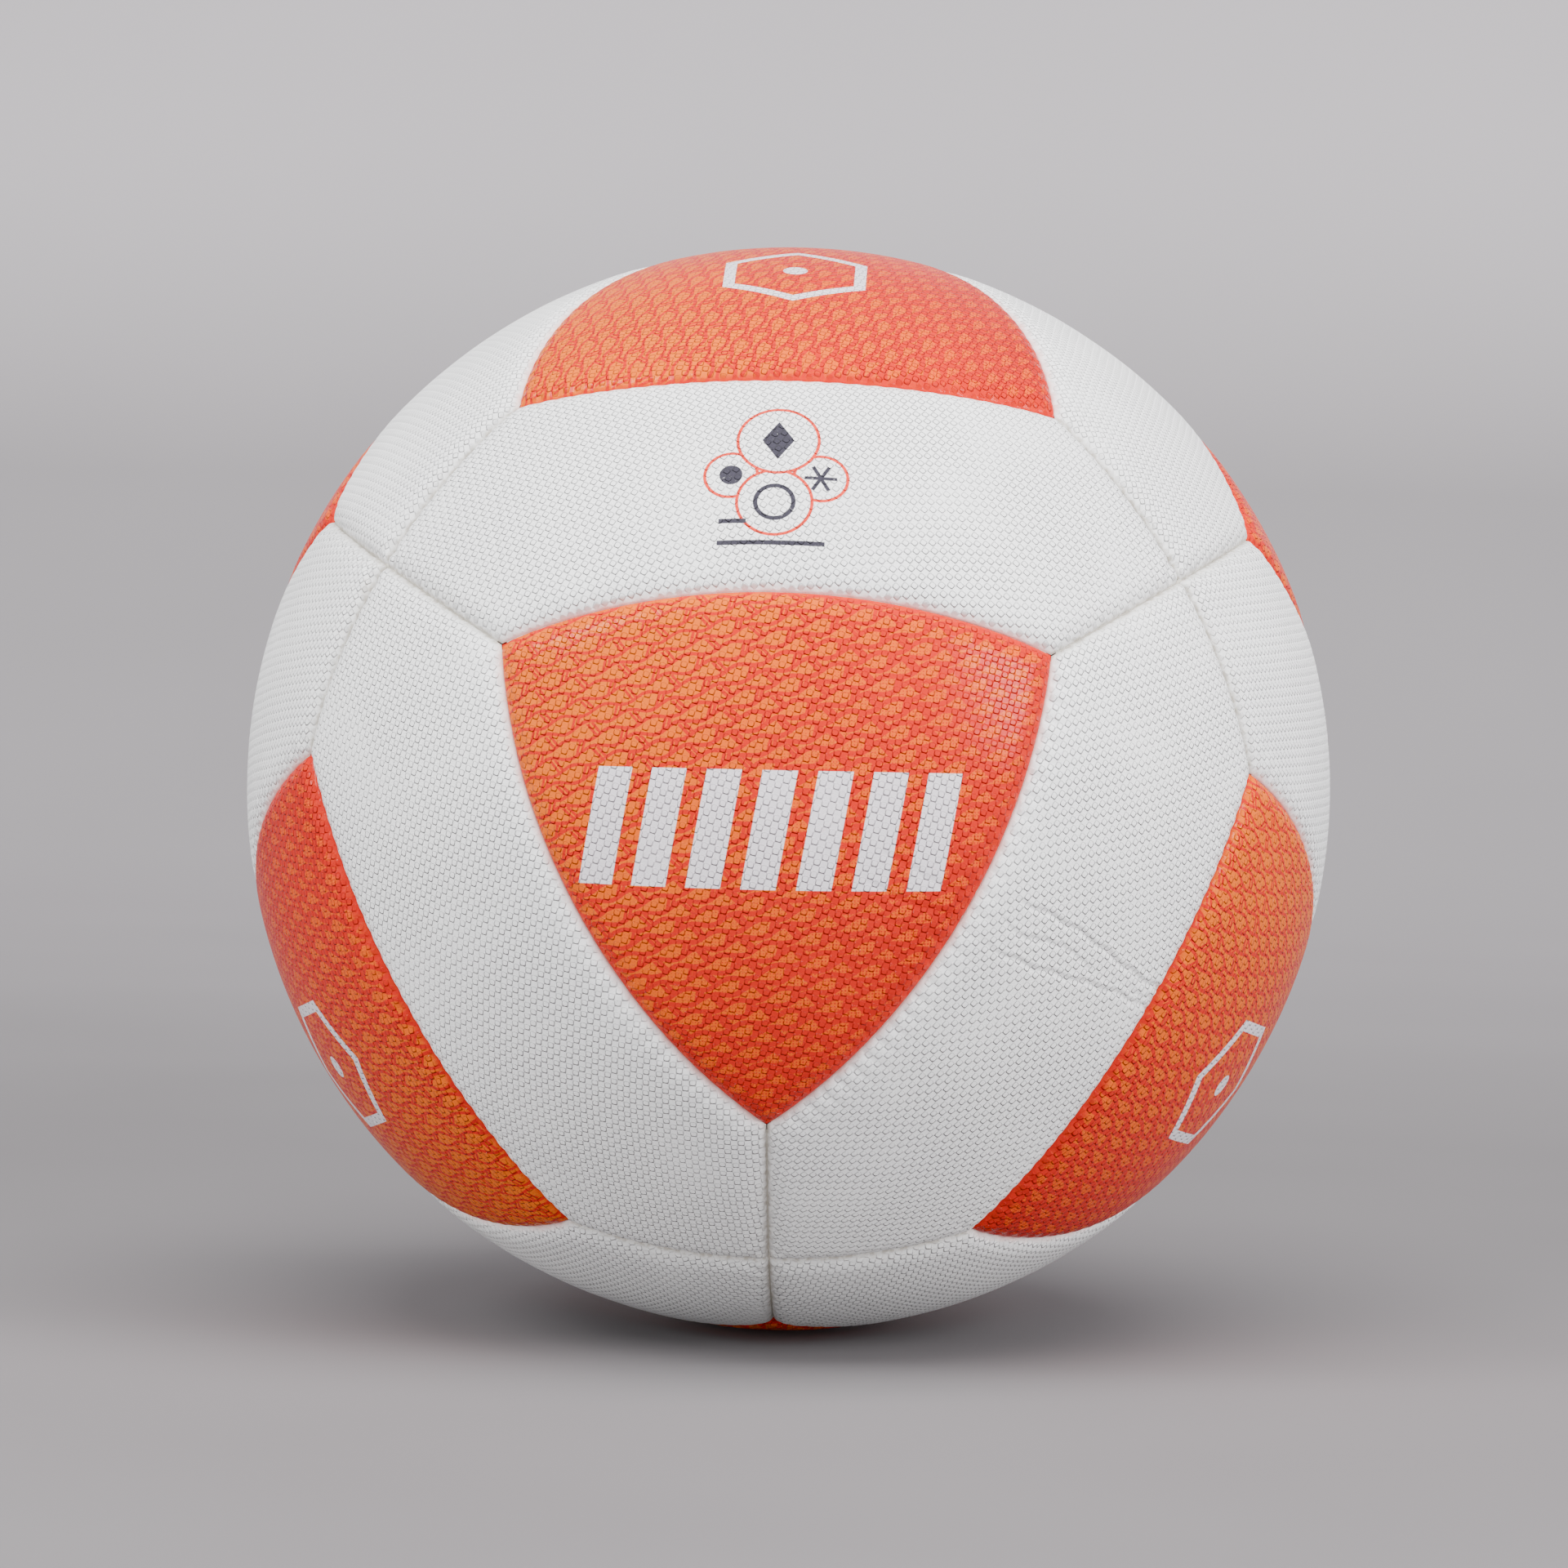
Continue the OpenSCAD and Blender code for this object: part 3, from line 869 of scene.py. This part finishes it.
def hexagon_mark(finish, colour):
    """Plain white hexagon outline with a dot in it."""
    hexagon_r, half_line, dot_r = 12.9, 1.15, 2.4
    x, y = finish.place("Mark")
    lean = math.sin(math.radians(60))
    reach = x.abs().most((x * 0.5 + y * lean).abs()).most((x * 0.5 - y * lean).abs())
    outline = within((reach - hexagon_r).abs(), half_line)
    dot = within((x * x + y * y).root(), dot_r)
    shown = outline.most(dot)
    return finish.blend(shown * (rub(finish, 1.6) * 0.1 + 0.9), colour, PRINT_WHITE)


def badge_mark(finish, colour):
    """Four thin rings that hold a diamond, a ring, a dot and a star, over two thin bars."""
    half_line = 0.32
    x, y = finish.place("Mark")

    def reach(cx, cy):
        return ((x - cx) * (x - cx) + (y - cy) * (y - cy)).root()

    def box(cx, cy, half_w, half_h):
        return within(((x - cx).abs() - half_w).most((y - cy).abs() - half_h), 0.0)

    upper, lower = reach(-0.5, 7.5), reach(-0.8, -6.8)
    left, right = reach(-9.2, -0.7), reach(7.8, -1.2)
    rings = within((upper - 7.7).abs(), half_line)
    rings = rings.most(within((lower - 7.1).abs(), half_line) * upper.step(7.6, 7.8))
    behind = upper.step(7.6, 7.8) * lower.step(7.0, 7.2)
    sides = within((left - 5.0).abs(), half_line)
    sides = sides.most(within((right - 5.1).abs(), half_line))
    colour = finish.blend(rings.most(sides * behind), colour, RING_RED)

    diamond = within((x + 0.5).abs() * 1.5 + (y - 7.5).abs(), 4.6)
    band = within((lower - 3.6).abs(), 0.45)
    dot = within(left, 2.2)
    spoke = ((y + 1.2).math("ARCTAN2", x - 7.8) * (6 / TURN) + 0.5).fraction() - 0.5
    star = within(spoke.abs() * right * (TURN / 6), 0.38) * within(right, 3.1)
    bars = box(-8.6, -11.0, 2.6, 0.5).most(box(-1.2, -15.6, 10.2, 0.5))
    shapes = diamond.most(band).most(dot).most(star).most(bars)
    return finish.blend(shapes * (rub(finish, 0.9) * 0.25 + 0.75), colour, INK)


# ---------------------------------------------------------------- inner materials

def woven_finish(name, colour, pitch):
    """Plain weave cloth."""
    finish = Finish(name, Roughness=0.85, Sheen_Weight=0.2)
    where = finish.tree.nodes.new("ShaderNodeTexCoord")
    split = finish.tree.nodes.new("ShaderNodeSeparateXYZ")
    finish.tree.links.new(where.outputs["Object"], split.inputs[0])
    x, y, z = (Value(finish.tree, split.outputs[i]) for i in range(3))
    u = (x + y * 0.4) * (TURN / (pitch * MM))
    v = (z - y * 0.4) * (TURN / (pitch * MM))
    weave = u.sin() * v.sin() * 0.5 + 0.5
    tone = finish.noise(3.0, 3.0)
    mixed = finish.blend(tone * 0.5 + weave * 0.3, colour, tuple(c * 0.6 for c in colour))
    return finish.wear(mixed, tone * 0.15 + 0.78, weave, 0.12)


def yarn_finish(name, colour):
    """Waxed, twisted thread."""
    finish = Finish(name, Specular_IOR_Level=0.4)
    twist = finish.noise(0.35, 3.0, 0.6)
    tone = finish.noise(6.0, 2.0)
    mixed = finish.blend(twist * 0.6 + tone * 0.3, colour, tuple(c * 0.5 for c in colour))
    return finish.wear(mixed, tone * 0.2 + 0.5, twist, 0.15)


def rubber_finish(name, colour, rough):
    """Moulded rubber with a faint bloom."""
    finish = Finish(name, Specular_IOR_Level=0.45)
    bloom = finish.noise(4.0, 4.0, 0.6)
    grit = finish.noise(0.4, 3.0, 0.6)
    mixed = finish.blend(bloom.step(0.4, 0.8) * 0.5, colour, tuple(c * 1.7 + 0.02 for c in colour))
    return finish.wear(mixed, bloom * 0.2 + rough, grit, 0.03)


# ---------------------------------------------------------------- the ball

FRONT_SLOPE = (0.009, -0.006)
SIDE_SLOPE = (0.010, 0.002)
side_orange = orange_finish("printed_orange", SIDE_TILT, SIDE_SLOPE)
marked_orange = orange_finish("printed_orange_marked", SIDE_TILT, SIDE_SLOPE, hexagon_mark)
front_orange = orange_finish("printed_orange_front", FRONT_TILT, FRONT_SLOPE, stripe_mark)
back_orange = orange_finish("printed_orange_back", FRONT_TILT, FRONT_SLOPE)
plain_white = white_finish("white_leather")
marked_white = white_finish("white_leather_marked", badge_mark)
ORANGE_SKINS = {
    "orange_front": front_orange,
    "orange_back": back_orange,
    "orange_top": marked_orange,
    "orange_lower_left": marked_orange,
    "orange_lower_right": marked_orange,
}

for seed, (name, layout) in enumerate(TRIANGLES.items()):
    make_triangle(name, *layout, ORANGE_SKINS.get(name, side_orange), 100 + seed)

for seed, (name, (signs, grain_turn)) in enumerate(LONG_PANELS.items()):
    skin = marked_white if name == "white_front_top" else plain_white
    make_long_panel(name, signs, grain_turn, skin, 200 + seed)

INNER = {
    "lining_": woven_finish("lining_cloth", (0.56, 0.51, 0.40), 0.9),
    "thread_": yarn_finish("waxed_thread", (0.68, 0.64, 0.55)),
    "bladder": rubber_finish("bladder_rubber", (0.030, 0.030, 0.034), 0.30),
    "valve_housing": rubber_finish("valve_rubber", (0.022, 0.022, 0.024), 0.45),
    "valve_core": rubber_finish("core_rubber", (0.16, 0.15, 0.13), 0.40),
    "valve_patch": rubber_finish("patch_rubber", (0.045, 0.045, 0.048), 0.55),
    "balance_patch": rubber_finish("weight_rubber", (0.045, 0.045, 0.048), 0.55),
}
for name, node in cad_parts.items():
    for start, material in INNER.items():
        if name.startswith(start):
            for slot in node.material_slots:
                slot.material = material

# ---------------------------------------------------------------- floor and light

FLOOR_Z = -BALL_R
# One paper in a shaded and a lit colour: painted shade on the floor, painted light on the backdrop
SHADED_FLOOR_PAPER = (0.135, 0.127, 0.130)
LIT_WALL_PAPER = (0.70, 0.66, 0.68)


def stage_finish():
    """Pale grey paper with painted shade and light: darker where it lies flat under the close
    overhead light, lighter as it curves up into the backdrop and far back on the floor.
    """
    finish = Finish("studio_paper", Specular_IOR_Level=0.2)
    where = finish.tree.nodes.new("ShaderNodeTexCoord")
    split = finish.tree.nodes.new("ShaderNodeSeparateXYZ")
    finish.tree.links.new(where.outputs["Object"], split.inputs[0])
    # Painted light: lighter as the paper rises and runs back
    height = Value(finish.tree, split.outputs[2]).step(FLOOR_Z - 0.02, FLOOR_Z + 0.4)
    away = Value(finish.tree, split.outputs[1]).step(0.2, 1.5)
    share = height.most(away * 0.5)
    tone = finish.noise(240.0, 2.0)
    colour = finish.blend(tone * 0.08 + share * 0.9, SHADED_FLOOR_PAPER, LIT_WALL_PAPER)
    return finish.wear(colour, tone * 0.1 + 0.8)


def make_stage():
    """Pale paper that runs back along the floor and curves up into a backdrop."""
    width, front, back, bend, top = 4.0, -2.2, 1.3, 0.9, 3.2
    floor_steps, bend_steps = 12, 16
    profile = [(front + (back - front) * i / floor_steps, FLOOR_Z)
               for i in range(floor_steps + 1)]
    for i in range(1, bend_steps + 1):
        turn = math.pi / 2 * i / bend_steps
        profile.append((back + bend * math.sin(turn), FLOOR_Z + bend * (1 - math.cos(turn))))
    profile.append((back + bend, top))
    columns = (-width, -width / 2, 0, width / 2, width)
    points = [(x, y, z) for y, z in profile for x in columns]
    faces = []
    for row in range(len(profile) - 1):
        for column in range(len(columns) - 1):
            a = row * len(columns) + column
            b = a + len(columns)
            faces.append((a, a + 1, b + 1, b))
    mesh = bpy.data.meshes.new("backdrop")
    mesh.from_pydata(points, [], faces)
    mesh.polygons.foreach_set("use_smooth", [True] * len(mesh.polygons))
    mesh.materials.append(stage_finish())
    paper = bpy.data.objects.new("backdrop", mesh)
    bpy.context.scene.collection.objects.link(paper)


COOL_WHITE = (1.0, 0.985, 1.0)
SKY = (0.95, 0.96, 1.0, 1.0)
SKY_STRENGTH = 0.66


def make_light(name, direction, reach, size, power, colour=(1.0, 1.0, 1.0), mirrored=True):
    """Soft rectangular light that faces the ball's centre. mirrored: it shows in glossy skin."""
    data = bpy.data.lights.new(name, "AREA")
    data.shape = "RECTANGLE"
    data.size, data.size_y = size
    data.energy = power
    data.color = colour
    light = bpy.data.objects.new(name, data)
    light.visible_glossy = mirrored
    place = Vector(direction).normalized() * reach
    light.matrix_world = (Matrix.Translation(place)
                          @ (-place).to_track_quat("-Z", "Y").to_matrix().to_4x4())
    bpy.context.scene.collection.objects.link(light)


make_stage()
make_light("overhead", (0.1, -0.42, 1.0), 1.5, (1.5, 1.1), 60, mirrored=False)
make_light("right_box", (0.72, -0.61, 0.38), 1.3, (0.36, 0.52), 9.0, COOL_WHITE)
make_light("left_box", (-0.61, -0.46, 0.65), 1.3, (0.36, 0.46), 7.5)
make_light("right_wall", (0.94, -0.33, -0.02), 1.4, (0.9, 1.1), 24, COOL_WHITE, False)
make_light("left_wall", (-0.94, -0.33, -0.02), 1.4, (0.9, 1.1), 22, mirrored=False)
make_light("low_front", (0.0, -1.0, -0.03), 1.45, (1.6, 0.12), 7, mirrored=False)
world = bpy.data.worlds.new("studio")
bpy.context.scene.world = world
world.use_nodes = True
sky = world.node_tree.nodes["Background"].inputs
sky["Color"].default_value = SKY
sky["Strength"].default_value = SKY_STRENGTH
